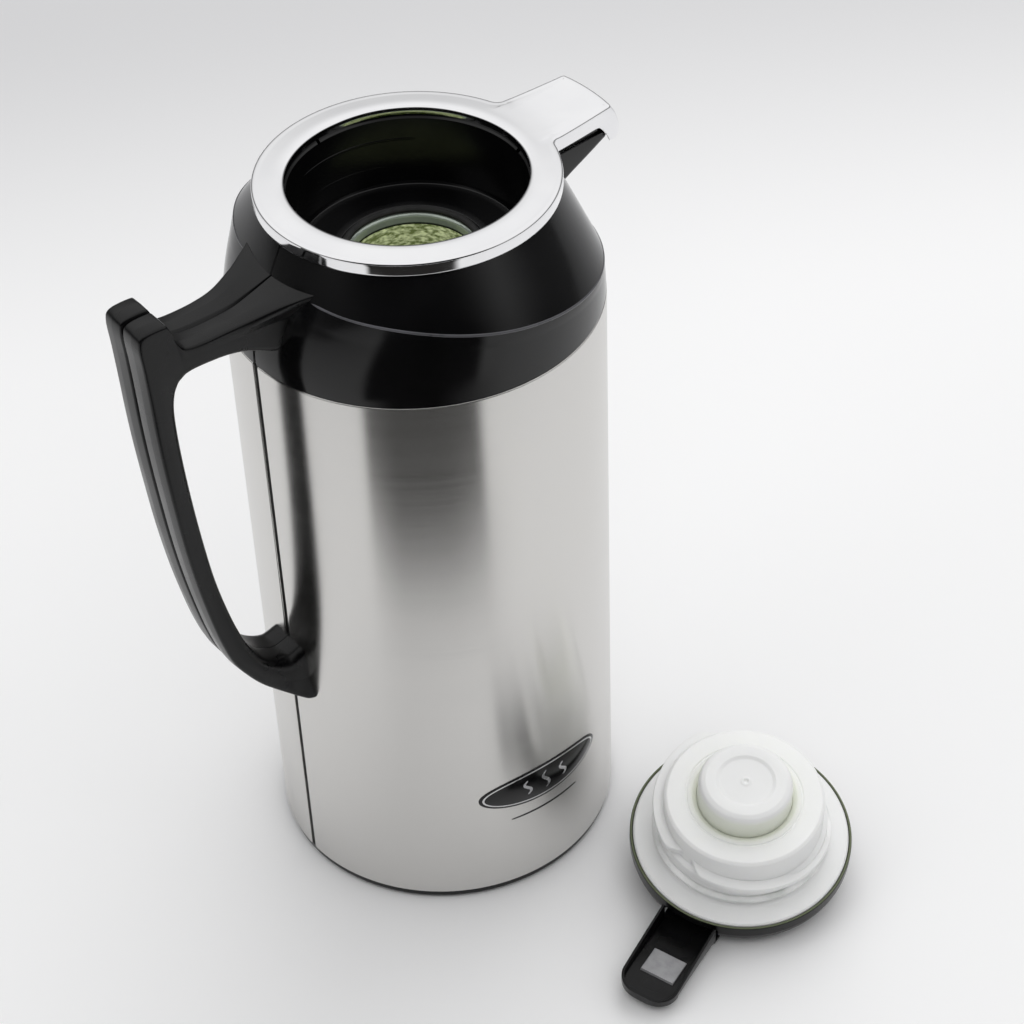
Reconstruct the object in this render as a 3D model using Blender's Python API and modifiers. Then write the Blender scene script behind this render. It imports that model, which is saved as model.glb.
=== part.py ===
"""Glass-lined vacuum coffee jug with a pouring spout, open, its press-lever stopper lying upside down beside it.

Frame: +Z up, origin at the centre of the foot on the table, spout towards +X, handle towards -X.
All sizes below are in millimetres; the scene is in metres.
"""
import bpy
import bmesh
from math import sin, cos, sqrt, pi, radians
from mathutils import Matrix, Vector

MM = 0.001

# ---- driving dimensions (mm) -------------------------------------------------
BODY_R = 68.0            # outside of the steel jacket
JACKET_T = 0.6
JACKET_Z = (4.5, 250.0)
SEAM_W = 1.2             # open joint of the rolled jacket, behind the handle
GAP = 0.3                # working gap between neighbouring pieces

RING_TOP = 299.0         # top face of the chrome ring
MOUTH_R = 42.2
RING_R = 53.6
RING_SKIRT_Z = 293.8
FLOOR_R = 39.7           # funnel wall where it meets the floor
FLOOR_Z = 268.6
GLASS_MOUTH_R = 22.4
GLASS_TOP = 267.2

RIDGE_R_HANDLE = 57.7    # crease of the shoulder, at the handle
RIDGE_GROW = 10.0        # how much wider it is at the sides
RIDGE_MID_Z = 272.5
RIDGE_SLOPE = 0.184      # the crease drops towards the spout
SHOULDER_T = 2.4
SHOULDER_STEPS = 40

SPOUT_X = (54.6, 79.6)   # chrome cover from root to tip
SPOUT_HALF = (15.8, 13.6)

LID_AT = (59.97, -115.2, 22.0)   # centre of the white disc, lid upside down
LID_TILT = 10.14                 # it leans on its lever
LID_TILT_AZ = -121.3
LEVER_AZ = -158.0
LID_R = 43.9
DISC_R = 42.6
DRUM_R = 31.3
DRUM_Z = 25.6
LUG_R = 35.4
VALVE_R = 18.5
VALVE_TOP = 36.5
PIVOT = (-36.0, -8.3)            # lever pin, along the lever and below the disc
LEVER_HALF = 11.7
LEVER_TIP = 83.0


# ---- scene, materials --------------------------------------------------------
def clear_scene():
    for obj in list(bpy.data.objects):
        bpy.data.objects.remove(obj, do_unlink=True)


clear_scene()
PARTS = bpy.data.collections.new("vacuum_jug")
GUIDES = bpy.data.collections.new("guides")
bpy.context.scene.collection.children.link(PARTS)
bpy.context.scene.collection.children.link(GUIDES)


def material(name, color, metallic=0.0, roughness=0.4, alpha=1.0):
    mat = bpy.data.materials.new(name)
    mat.use_nodes = True
    shader = mat.node_tree.nodes["Principled BSDF"]
    shader.inputs["Base Color"].default_value = (*color, 1.0)
    shader.inputs["Metallic"].default_value = metallic
    shader.inputs["Roughness"].default_value = roughness
    shader.inputs["Alpha"].default_value = alpha
    mat.diffuse_color = (*color, 1.0)
    return mat


BLACK = dict(color=(0.012, 0.012, 0.014), roughness=0.22)
STEEL = dict(color=(0.62, 0.61, 0.59), metallic=1.0, roughness=0.32)
CHROME = dict(color=(0.86, 0.86, 0.87), metallic=1.0, roughness=0.05)
GLASS = dict(color=(0.62, 0.70, 0.60), metallic=0.85, roughness=0.06)
RUBBER = dict(color=(0.03, 0.03, 0.03), roughness=0.8)
WHITE = dict(color=(0.86, 0.87, 0.86), roughness=0.35)
SILICONE = dict(color=(0.78, 0.80, 0.78), roughness=0.6)
PIN = dict(color=(0.66, 0.66, 0.66), metallic=1.0, roughness=0.25)


def finish(obj, look, smooth=True):
    obj.data.materials.append(material(obj.name, **look))
    if smooth and obj.type == "MESH":
        for face in obj.data.polygons:
            face.use_smooth = True
    return obj


def new_object(name, data, collection=PARTS):
    obj = bpy.data.objects.new(name, data)
    collection.objects.link(obj)
    return obj


# ---- shape helpers -----------------------------------------------------------
def lathe(name, profile, steps, closed, collection=PARTS):
    """Turned piece: the profile runs down its outer side; closed profiles are rings."""
    mesh = bpy.data.meshes.new(name)
    verts = [(r * MM, 0.0, z * MM) for r, z in profile]
    edges = [(i, i + 1) for i in range(len(verts) - 1)]
    if closed:
        edges.append((len(verts) - 1, 0))
    mesh.from_pydata(verts, edges, [])
    obj = new_object(name, mesh, collection)
    screw = obj.modifiers.new("turn", "SCREW")
    screw.steps = steps
    screw.render_steps = steps
    screw.use_merge_vertices = True
    screw.merge_threshold = 0.00001
    screw.use_smooth_shade = True
    return obj


def mesh_from(name, verts, faces, collection=PARTS):
    mesh = bpy.data.meshes.new(name)
    mesh.from_pydata([Vector(v) * MM for v in verts], [], faces)
    work = bmesh.new()
    work.from_mesh(mesh)
    bmesh.ops.recalc_face_normals(work, faces=work.faces)
    work.to_mesh(mesh)
    work.free()
    return new_object(name, mesh, collection)


def loft(name, sections, collection=PARTS, ring=False):
    """Skin equal-length outlines; ends are capped unless the sections form a ring."""
    count = len(sections[0])
    verts = [p for section in sections for p in section]
    faces = []
    spans = len(sections) if ring else len(sections) - 1
    for i in range(spans):
        a, b = i * count, ((i + 1) % len(sections)) * count
        for j in range(count):
            k = (j + 1) % count
            faces.append((a + j, a + k, b + k, b + j))
    if not ring:
        faces.append(tuple(range(count)))
        faces.append(tuple((len(sections) - 1) * count + j for j in range(count)))
    return mesh_from(name, verts, faces, collection)


def box(name, low, high, collection=GUIDES):
    x0, y0, z0 = low
    x1, y1, z1 = high
    outline = [(y0, z0), (y1, z0), (y1, z1), (y0, z1)]
    return loft(name, [[(x, y, z) for y, z in outline] for x in (x0, x1)], collection)


def rod(name, radius, length, axis, at, steps=24, collection=GUIDES):
    mesh = bpy.data.meshes.new(name)
    work = bmesh.new()
    bmesh.ops.create_cone(
        work, cap_ends=True, segments=steps, radius1=radius * MM, radius2=radius * MM, depth=length * MM
    )
    turn = Vector((0, 0, 1)).rotation_difference(Vector(axis)).to_matrix().to_4x4()
    bmesh.ops.transform(work, matrix=Matrix.Translation(Vector(at) * MM) @ turn, verts=work.verts)
    work.to_mesh(mesh)
    work.free()
    return new_object(name, mesh, collection)


def combine(target, tool, operation="DIFFERENCE"):
    mod = target.modifiers.new(operation.lower() + "_" + tool.name, "BOOLEAN")
    mod.operation = operation
    mod.solver = "EXACT"
    mod.object = tool
    tool.hide_render = True
    tool.display_type = "WIRE"


# ---- the jug -----------------------------------------------------------------
def build_base():
    cup = lathe("base_cup", [
        (67.0, 12.0), (67.0, 4.9), (67.3, 4.2), (67.0, 1.2), (65.4, 0.0), (58.0, 0.0), (56.0, 2.0),
        (30.0, 2.0), (28.0, 0.0), (24.0, 0.0), (24.0, 8.0), (27.0, 4.5), (60.0, 4.5), (64.6, 12.0)], 36, True)
    finish(cup, BLACK)
    plug = lathe("base_plug", [
        (0.0, 8.0), (23.0, 8.0), (23.6, 7.4), (23.6, 0.6), (23.0, 0.0), (0.0, 0.0)], 28, False)
    for side in (-1, 1):
        combine(plug, box("plug_grip_%d" % (side + 1), (side * 15 - 3, -7, -1), (side * 15 + 3, 7, 4)))
    finish(plug, BLACK, smooth=False)
    cushion = lathe("glass_cushion", [
        (20.0, 18.7), (22.0, 18.2), (22.0, 8.3), (10.5, 8.3), (10.5, 16.6), (12.0, 17.6)], 24, True)
    finish(cushion, RUBBER)


def build_jacket():
    low, high = JACKET_Z
    inner = BODY_R - JACKET_T
    jacket = lathe("steel_jacket", [
        (BODY_R - 0.2, high), (BODY_R, high - 0.4), (BODY_R, low + 0.4), (BODY_R - 0.2, low), (inner, low),
        (inner, high)], 48, True)
    combine(jacket, box("seam_gap", (-80, -SEAM_W / 2, -5), (-60, SEAM_W / 2, 260)))
    finish(jacket, STEEL)


def ridge(phi):
    """Crease radius and height; phi is the angle from the handle."""
    phi = abs((phi + pi) % (2 * pi) - pi)
    if phi < pi / 2:
        radius = RIDGE_R_HANDLE + RIDGE_GROW * sin(phi) ** 2
    else:
        radius = RIDGE_R_HANDLE + RIDGE_GROW - 0.8 * cos(phi) ** 2
    return radius, RIDGE_MID_Z + RIDGE_SLOPE * radius * cos(phi)


def shoulder_outline(phi):
    """Outer side of the shoulder from under the ring down to the jacket."""
    rr, rz = ridge(phi)
    top = (52.3, RING_SKIRT_Z - GAP)
    pts = [top]
    for t in (0.5, 0.94):
        pts.append((top[0] + (rr - top[0]) * t, top[1] + (rz - top[1]) * t))
    pts.append((rr + 0.15, rz - 0.7))
    for t in (0.25, 0.5, 0.75, 1.0):
        pts.append((rr + (67.8 - rr) * sin(t * pi / 2), rz + (JACKET_Z[1] + GAP - rz) * t))
    return pts


def shoulder_radius(phi, z):
    """Outer radius of the shoulder at a height."""
    pts = shoulder_outline(phi)
    for (r0, z0), (r1, z1) in zip(pts, pts[1:]):
        if z1 <= z <= z0:
            return r0 + (r1 - r0) * (z0 - z) / max(z0 - z1, 1e-6)
    return pts[0][0] if z > pts[0][1] else pts[-1][0]


def spout_half(x):
    t = (x - SPOUT_X[0]) / (SPOUT_X[1] - SPOUT_X[0])
    return SPOUT_HALF[0] + (SPOUT_HALF[1] - SPOUT_HALF[0]) * max(min(t, 1.0), -0.2)


SPOUT_STATIONS = [(43.8, 273.0), (50.0, 273.2), (56.0, 273.2), (62.0, 274.8), (67.0, 277.4), (71.0, 279.4),
                  (75.0, 281.4), (79.6, 283.8)]


def spout_outline(x, low, half, top):
    return [(x, -half, top), (x, -half, low + 6), (x, -half + 2.6, low + 1.6), (x, -half + 7, low),
            (x, half - 7, low), (x, half - 2.6, low + 1.6), (x, half, low + 6), (x, half, top)]


def spout_cutter(name, top, start=41.0, end=(86.0, 287.2)):
    sections = []
    for x, low in [(start, 272.8)] + SPOUT_STATIONS[1:] + [end]:
        sections.append(spout_outline(x, low - 0.4, spout_half(x) - 1.2, top))
    return loft(name, sections, GUIDES)


def build_shoulder():
    sections = []
    steps = SHOULDER_STEPS
    for i in range(steps):
        phi = 2 * pi * i / steps
        outer = shoulder_outline(phi)
        inner = [(r - SHOULDER_T, z - 0.8) for r, z in reversed(outer[:-1])]
        step = [(66.9, JACKET_Z[1] + GAP), (66.9, 243.0), (64.9, 243.0), (64.9, 252.0)]
        sections.append([(-r * cos(phi), -r * sin(phi), z) for r, z in outer + step + inner])
    shoulder = loft("shoulder", sections, ring=True)
    combine(shoulder, spout_cutter("spout_seat", 302.0))
    finish(shoulder, BLACK)


def build_neck():
    funnel = lathe("neck_funnel", [
        (51.4, 295.8), (51.4, 294.2), (44.6, 294.0), (44.2, 291.0), (42.0, 270.0), (42.0, 266.2),
        (25.9, 266.2), (25.9, FLOOR_Z), (FLOOR_R, FLOOR_Z), (40.0, 271.0), (42.2, 293.0), (43.0, 295.8)], 36, True)
    combine(funnel, spout_cutter("flange_notch", 303.0, start=43.4))
    combine(funnel, box("pour_port", (36.0, -8.0, 275.5), (46.0, 8.0, 289.5)))
    finish(funnel, BLACK)
    gasket = lathe("neck_gasket", [
        (24.9, 268.9), (25.5, 268.4), (25.5, 267.5), (22.7, 267.5), (22.7, 268.3), (23.3, 268.9)], 28, True)
    finish(gasket, RUBBER)


def build_glass():
    """Double wall joined at the mouth; the pumping tip at the bottom is left open."""
    coffee_side = [(0.0, 26.6), (30.0, 28.0), (46.0, 35.5), (54.0, 53.0), (54.0, 203.0), (47.5, 222.0),
                   (35.4, 234.3), (23.9, 245.8), (22.4, 253.5), (GLASS_MOUTH_R, 266.4)]
    outer = [(23.6, GLASS_TOP), (24.9, 266.3), (24.9, 253.0), (27.0, 247.5), (39.0, 240.5), (52.0, 229.0),
             (59.5, 206.0), (59.5, 50.0), (54.0, 32.0), (40.0, 21.5), (10.0, 18.0), (3.2, 15.6), (1.6, 15.3)]
    vacuum = [(1.6, 17.0), (9.0, 19.6), (39.3, 23.0), (52.7, 33.0), (58.1, 50.4), (58.1, 205.6),
              (51.0, 228.0), (38.3, 239.3), (26.2, 246.6), (24.1, 252.8), (24.1, 264.5), (23.2, 264.5),
              (23.2, 253.5), (24.9, 246.6), (36.4, 235.4), (48.6, 223.0), (55.2, 203.5), (55.2, 53.0),
              (47.0, 34.0), (30.0, 26.6), (0.0, 25.2)]
    finish(lathe("glass_liner", coffee_side + outer + vacuum, 22, False), GLASS)


def build_chrome():
    ring = lathe("chrome_ring", [
        (MOUTH_R + 0.6, RING_TOP + 0.2), (51.5, RING_TOP), (52.9, 298.3), (RING_R, 296.9), (RING_R, RING_SKIRT_Z),
        (52.5, RING_SKIRT_Z), (52.0, 296.9), (44.2, 297.4), (43.6, 296.2), (MOUTH_R + 0.2, 296.2),
        (MOUTH_R, 298.6)], 44, True)
    roof = 297.6
    sections = []
    for x, low, top, under in ((50.0, 293.8, RING_TOP, roof), (56.0, 293.6, RING_TOP, roof),
                               (74.0, 293.0, RING_TOP, roof), (76.2, 287.4, RING_TOP, roof),
                               (80.2, 286.9, RING_TOP, roof), (82.0, 287.9, 295.4, 293.2),
                               (83.2, 288.9, 293.0, 289.4), (84.2, 290.1, 291.4, 290.4)):
        half = spout_half(x) - 0.25 * max(0.0, x - 80.2)
        inner = spout_half(x) - 1.2
        sections.append([
            (x, -half, low), (x, -half, top - 0.9), (x, -half + 0.9, top), (x, half - 0.9, top),
            (x, half, top - 0.9), (x, half, low), (x, inner, low), (x, inner, under),
            (x, -inner, under), (x, -inner, low)])
    cover = loft("spout_cover", sections, GUIDES)
    combine(ring, cover, "UNION")
    combine(ring, spout_cutter("channel_space", roof, end=(80.2, 284.2)))
    finish(ring, CHROME)


def build_spout_channel():
    sections = []
    for x, low in SPOUT_STATIONS:
        half = spout_half(x) - 1.6
        top = 297.2
        outer = spout_outline(x, low, half, top)
        wall = 1.7
        inner = [(x, half - wall, top), (x, half - wall, low + 6.4), (x, half - 7, low + 1.8),
                 (x, -half + 7, low + 1.8), (x, -half + wall, low + 6.4), (x, -half + wall, top)]
        sections.append(outer + inner)
    finish(loft("spout_channel", sections), BLACK)


# inner (x, z), outer (x, z), half-width inside, half-width outside
HANDLE = [
    ((-72.5, 118.0), (-73.0, 102.0), 12.3, 12.3), ((-76.0, 118.6), (-79.6, 107.9), 11.3, 11.3),
    ((-80.5, 121.3), (-86.4, 115.2), 11.0, 11.0), ((-85.3, 127.8), (-92.3, 123.6), 11.0, 11.0),
    ((-89.7, 136.2), (-97.2, 132.8), 11.0, 11.0), ((-93.2, 146.5), (-100.8, 144.5), 11.0, 11.0),
    ((-96.3, 158.5), (-103.6, 157.0), 11.0, 11.0), ((-99.6, 175.0), (-106.8, 174.5), 11.0, 11.0),
    ((-102.0, 194.0), (-109.4, 193.5), 11.0, 11.0), ((-103.9, 214.0), (-111.4, 214.0), 11.0, 11.0),
    ((-105.1, 232.0), (-112.9, 232.5), 11.0, 11.0), ((-105.6, 246.0), (-113.8, 248.0), 11.0, 11.0),
    ((-105.3, 256.0), (-114.3, 262.0), 11.0, 11.0), ((-104.4, 261.5), (-114.9, 276.0), 11.0, 11.0),
    ((-103.0, 264.5), (-115.4, 286.0), 11.0, 11.0), ((-102.2, 265.6), (-113.6, 289.8), 11.0, 11.0),
    ((-101.4, 266.2), (-106.4, 290.4), 11.0, 11.0), ((-100.6, 266.7), (-104.0, 289.3), 11.0, 11.0),
    ((-99.8, 267.2), (-102.4, 284.0), 11.0, 11.0), ((-98.8, 267.5), (-100.4, 279.8), 11.0, 11.0),
    ((-96.5, 267.8), (-97.6, 278.2), 11.0, 11.0), ((-92.0, 267.8), (-92.0, 277.6), 11.0, 11.1),
    ((-84.0, 267.2), (-82.0, 277.8), 11.0, 11.8), ((-77.0, 265.8), (-73.0, 278.8), 11.4, 13.2),
    ((-71.5, 263.8), (-64.5, 281.0), 12.0, 16.0),
]


def handle_section(inner, outer, half_in, half_out):
    """Half outline (x, y, z) on one side of the middle plane, with the groove along its back."""
    ix, iz = inner
    ox, oz = outer
    length = sqrt((ox - ix) ** 2 + (oz - iz) ** 2)
    r = 1.9 / length
    flare = half_out - half_in
    shape = [(0.0, 0.15), (0.0, half_in - 2.2), (r * 0.3, half_in - 0.6), (r, half_in), (0.55, half_in + 0.1 * flare),
             (0.8, half_in + 0.5 * flare), (1 - r, half_out), (1 - r * 0.3, half_out - 0.6),
             (1.0, half_out - 2.2), (1.0, 0.9), (1 - 0.9 / length, 0.15)]
    return [(ix + (ox - ix) * s, y, iz + (oz - iz) * s) for s, y in shape]


def shoulder_space():
    """Solid a little larger than the shoulder, to seat the handle on."""
    sections = []
    steps = SHOULDER_STEPS
    for i in range(steps):
        phi = 2 * pi * i / steps
        outer = [(r + 0.4, z + 0.1) for r, z in shoulder_outline(phi)]
        whole = [(20.0, outer[0][1])] + outer + [(20.0, outer[-1][1])]
        sections.append([(-r * cos(phi), -r * sin(phi), z) for r, z in whole])
    return loft("shoulder_space", sections, GUIDES, ring=True)


def build_handle():
    foot = handle_section((-64.0, 121.6), (-64.0, 98.4), 14.2, 14.2)
    neck = handle_section((-69.4, 119.6), (-69.4, 99.4), 13.6, 13.6)
    sections = [foot, neck] + [handle_section(*row) for row in HANDLE]
    sections.append(handle_section((-64.5, 261.2), (-57.0, 283.4), 13.0, 19.6))
    sections.append(handle_section((-48.0, 261.2), (-48.0, 283.6), 14.0, 23.0))
    left = loft("handle_left", [[(x, -y, z) for x, y, z in section] for section in sections])
    right = loft("handle_right", sections)
    collar = shoulder_space()
    body = rod("jacket_space", BODY_R + GAP, 260.0, (0, 0, 1), (0, 0, 119.0), 96)
    for half in (left, right):
        combine(half, collar)
        combine(half, body)
        finish(half, BLACK)


def build_jug_screws():
    """Screws from inside the jug hold the handle halves."""
    for name, side, z, x in (("handle_screw_upper_left", -1, 270.0, -57.5),
                             ("handle_screw_upper_right", 1, 270.0, -57.5),
                             ("handle_screw_lower_left", -1, 108.0, -66.6),
                             ("handle_screw_lower_right", 1, 108.0, -66.6)):
        profile = [(0.0, 1.8), (2.6, 1.8), (3.1, 1.2), (3.1, 0.0), (1.5, 0.0), (1.5, -9.5), (0.8, -11.0), (0.0, -11.0)]
        screw = lathe(name, profile, 10, False)
        turn = Matrix.Rotation(radians(90), 4, "Y")
        spot = Matrix.Translation(Vector((x, side * 6.0, z)) * MM)
        screw.matrix_world = spot @ turn
        finish(screw, PIN)


def drill_for_screws():
    holes = []
    for name, side, z, x in (("bore_ul", -1, 270.0, -57.5), ("bore_ur", 1, 270.0, -57.5),
                             ("bore_ll", -1, 108.0, -66.6), ("bore_lr", 1, 108.0, -66.6)):
        holes.append((rod(name, 1.62, 30.0, (1, 0, 0), (x - 3.0, side * 6.0, z), 16), side, z))
    for tool, side, z in holes:
        combine(bpy.data.objects["handle_left" if side < 0 else "handle_right"], tool)
        combine(bpy.data.objects["shoulder" if z > 200 else "steel_jacket"], tool)


# ---- the stopper, upside down ------------------------------------------------
def lid_frame():
    lean = radians(LID_TILT)
    az = radians(LID_TILT_AZ)
    up = Vector((sin(lean) * cos(az), sin(lean) * sin(az), cos(lean)))
    lean_turn = Vector((0, 0, 1)).rotation_difference(up).to_matrix().to_4x4()
    return Matrix.Translation(Vector(LID_AT) * MM) @ lean_turn @ Matrix.Rotation(radians(LEVER_AZ), 4, "Z")


LID = lid_frame()


def place(obj, at=(0.0, 0.0, 0.0)):
    obj.matrix_world = LID @ Matrix.Translation(Vector(at) * MM)
    return obj


def build_lid_cover():
    cover = lathe("lid_cover", [
        (0.0, -15.2), (21.5, -14.4), (32.0, -12.5), (39.0, -10.0), (41.3, -8.0), (41.9, -5.5), (41.9, -2.4),
        (42.9, -2.4), (42.9, -1.0), (LID_R - 0.3, -0.7), (LID_R, -1.3), (LID_R, -6.0), (43.2, -9.0),
        (40.5, -11.8), (33.0, -14.4), (22.0, -16.4), (0.0, -17.2)], 36, False)
    place(cover)
    px, pz = PIVOT
    for side in (-1, 1):
        y0, y1 = sorted((side * 12.4, side * 15.6))
        boss = place(box("pin_boss_%d" % (side + 1), (px - 2.5, y0, pz - 2.2), (px + 3.5, y1, pz + 2.2)))
        combine(cover, boss, "UNION")
    combine(cover, place(box("lever_slot", (-41.0, -12.5, -25.0), (60.0, 12.5, -4.4))))
    combine(cover, place(rod("cover_pin_bore", 1.55, 33.0, (0, 1, 0), (px, 0.0, pz), 20)))
    finish(cover, BLACK)


def build_stopper():
    body = lathe("stopper_body", [
        (30.5, DRUM_Z), (DRUM_R, DRUM_Z - 0.8), (DRUM_R, 14.0), (LUG_R - 0.7, 14.0), (LUG_R, 13.3), (LUG_R, 11.0),
        (LUG_R - 0.7, 10.2), (33.5, 10.0), (33.5, 6.4), (31.6, 6.4), (31.6, 3.0), (33.5, 3.0), (33.5, 0.7),
        (34.2, 0.0), (42.0, 0.0), (DISC_R, -0.6), (DISC_R, -2.0), (2.8, -2.0), (2.8, 10.0), (5.2, 10.0),
        (5.2, 0.4), (28.6, 0.4), (28.6, 20.6), (14.0, 20.6), (14.0, 22.6), (19.6, 22.6), (19.6, DRUM_Z),
        (22.3, DRUM_Z), (22.5, DRUM_Z - 0.4), (22.9, DRUM_Z - 0.4), (23.1, DRUM_Z)], 32, True)
    place(body)
    combine(body, place(box("pour_window", (-37.0, -8.0, 6.8), (-26.0, 8.0, 9.7))))
    finish(body, WHITE)
    gasket = lathe("stopper_gasket", [
        (34.2, 6.1), (35.2, 5.2), (35.2, 4.2), (34.2, 3.3), (31.9, 3.3), (31.9, 6.1)], 32, True)
    finish(place(gasket), SILICONE)


def build_valve():
    cap = lathe("valve_cap", [
        (0.0, VALVE_TOP - 0.6), (10.5, VALVE_TOP - 0.6), (11.5, VALVE_TOP), (16.0, VALVE_TOP), (17.6, VALVE_TOP - 0.6),
        (VALVE_R, VALVE_TOP - 2.4), (VALVE_R, 24.5), (16.6, 24.5), (16.6, 33.6), (0.0, 33.6)], 32, False)
    finish(place(cap), WHITE)
    stem = lathe("valve_stem", [
        (0.0, 33.2), (2.4, 33.2), (2.4, 26.2), (15.8, 26.0), (16.2, 25.5), (16.2, 24.5), (2.4, 24.4),
        (2.4, -15.3), (1.8, -15.9), (0.0, -15.9)], 16, False)
    finish(place(stem), WHITE)
    seal = lathe("valve_seal", [
        (17.9, 24.2), (18.2, 23.8), (18.2, 23.0), (17.9, 22.75), (2.7, 22.75), (2.7, 24.2)], 28, True)
    finish(place(seal), SILICONE)
    clip = lathe("valve_clip", [(6.0, -11.5), (6.0, -12.1), (2.45, -12.1), (2.45, -11.5)], 16, True)
    finish(place(clip), PIN)


def build_spring():
    curve = bpy.data.curves.new("valve_spring", "CURVE")
    curve.dimensions = "3D"
    curve.bevel_depth = 0.35 * MM
    curve.bevel_resolution = 0
    curve.use_fill_caps = True
    turns, per_turn = 4, 10
    line = curve.splines.new("POLY")
    line.points.add(turns * per_turn)
    for i in range(turns * per_turn + 1):
        a = 2 * pi * i / per_turn
        z = -11.05 + 8.25 * i / (turns * per_turn)
        line.points[i].co = (4.4 * cos(a) * MM, 4.4 * sin(a) * MM, z * MM, 1.0)
    holder = new_object("spring_wire", curve, GUIDES)
    bpy.context.view_layer.update()
    mesh = bpy.data.meshes.new_from_object(holder)
    work = bmesh.new()
    work.from_mesh(mesh)
    bmesh.ops.remove_doubles(work, verts=work.verts, dist=1e-6)
    bmesh.ops.recalc_face_normals(work, faces=work.faces)
    work.to_mesh(mesh)
    work.free()
    bpy.data.objects.remove(holder, do_unlink=True)
    mesh.materials.clear()
    finish(place(new_object("valve_spring", mesh)), PIN)


# along the lever: outer depth, top of the side walls
LEVER = [(-39.4, -12.6, -5.8), (-33.4, -14.6, -5.6), (-32.6, -14.8, -11.4), (-20.0, -16.8, -13.2), (0.0, -18.1, -14.6),
         (22.0, -17.0, -13.6), (38.0, -15.0, -12.3), (45.4, -14.0, -11.0), (46.4, -13.9, -1.6), (60.0, -12.0, -1.4),
         (72.0, -10.3, -1.3), (78.0, -9.5, -1.4), (80.0, -9.2, -1.8)]


def lever_section(x, low, wall_top, half):
    floor = low + 2.0
    side = 1.5
    return [(x, -half, wall_top), (x, -half, low + 1.6), (x, -half + 1.6, low), (x, half - 1.6, low),
            (x, half, low + 1.6), (x, half, wall_top), (x, half - side, wall_top), (x, half - side, floor),
            (x, -half + side, floor), (x, -half + side, wall_top)]


def build_lever():
    px, pz = PIVOT
    sections = []
    for x, low, wall_top in LEVER:
        half = LEVER_HALF - (1.0 if x > 79 else 0.0)
        sections.append(lever_section(x, low, wall_top, half))
    shell = loft("thumb_lever", [[(x - px, y, z - pz) for x, y, z in s] for s in sections])
    place(shell, (px, 0.0, pz))
    tip = []
    for x, grow in ((78.5, 0.0), (81.0, 0.8), (82.4, 2.4), (LEVER_TIP, 5.0)):
        half = LEVER_HALF - grow
        tip.append([(x, -half, -1.6), (x, -half, -7.4), (x, -half + 1.4, -8.8), (x, half - 1.4, -8.8),
                    (x, half, -7.4), (x, half, -1.6)])
    nose = place(loft("lever_nose", tip, GUIDES))
    combine(shell, nose, "UNION")
    combine(shell, place(rod("lever_pin_bore", 1.6, 30.0, (0, 1, 0), (px, 0.0, pz), 20)))
    finish(shell, BLACK, smooth=False)
    pin = rod("lever_pin", 1.5, 30.6, (0, 1, 0), (0, 0, 0), 20, PARTS)
    finish(place(pin, (px, 0.0, pz)), PIN)


build_base()
build_jacket()
build_glass()
build_neck()
build_shoulder()
build_handle()
build_jug_screws()
drill_for_screws()
build_chrome()
build_spout_channel()
build_lid_cover()
build_stopper()
build_valve()
build_spring()
build_lever()
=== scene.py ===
"""Looks of the glass-lined vacuum jug and its press-lever stopper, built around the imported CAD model.

Row frame: +Z up, origin at the centre of the foot, spout towards +X, handle towards -X.
Shapes are written in millimetres and scaled by MM when a mesh is made; everything else is in metres.
"""

from math import acos, atan2, cos, degrees, exp, hypot, pi, radians, sin, sqrt, tan

import bmesh
import bpy
import numpy as np
from mathutils import Matrix, Vector


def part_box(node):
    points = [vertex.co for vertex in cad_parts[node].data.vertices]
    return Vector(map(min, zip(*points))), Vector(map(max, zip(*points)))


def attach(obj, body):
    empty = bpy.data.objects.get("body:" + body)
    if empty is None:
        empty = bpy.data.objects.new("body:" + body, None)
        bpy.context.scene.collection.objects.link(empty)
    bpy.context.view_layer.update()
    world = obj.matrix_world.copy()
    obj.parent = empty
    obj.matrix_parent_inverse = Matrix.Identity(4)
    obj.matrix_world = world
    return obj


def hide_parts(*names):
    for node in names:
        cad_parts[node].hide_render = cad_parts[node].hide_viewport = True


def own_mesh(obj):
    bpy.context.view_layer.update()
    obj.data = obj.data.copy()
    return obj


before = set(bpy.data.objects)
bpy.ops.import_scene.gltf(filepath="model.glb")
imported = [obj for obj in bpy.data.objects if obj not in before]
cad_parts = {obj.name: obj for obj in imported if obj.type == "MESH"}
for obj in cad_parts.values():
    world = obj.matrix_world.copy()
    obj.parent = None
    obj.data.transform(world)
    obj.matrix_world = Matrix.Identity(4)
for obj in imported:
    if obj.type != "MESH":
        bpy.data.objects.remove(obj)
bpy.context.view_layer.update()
MM = 0.001


# ---- camera and stage --------------------------------------------------------
def build_camera():
    data = bpy.data.cameras.new("camera")
    data.sensor_width = 36.0
    data.lens = 90.21
    data.clip_end = 60.0
    camera = bpy.data.objects.new("camera", data)
    bpy.context.scene.collection.objects.link(camera)
    camera.location = (-0.4099, -0.6167, 0.7861)
    camera.rotation_euler = (radians(49.008), radians(1.817), radians(-37.594))
    bpy.context.scene.camera = camera


build_camera()


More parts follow.
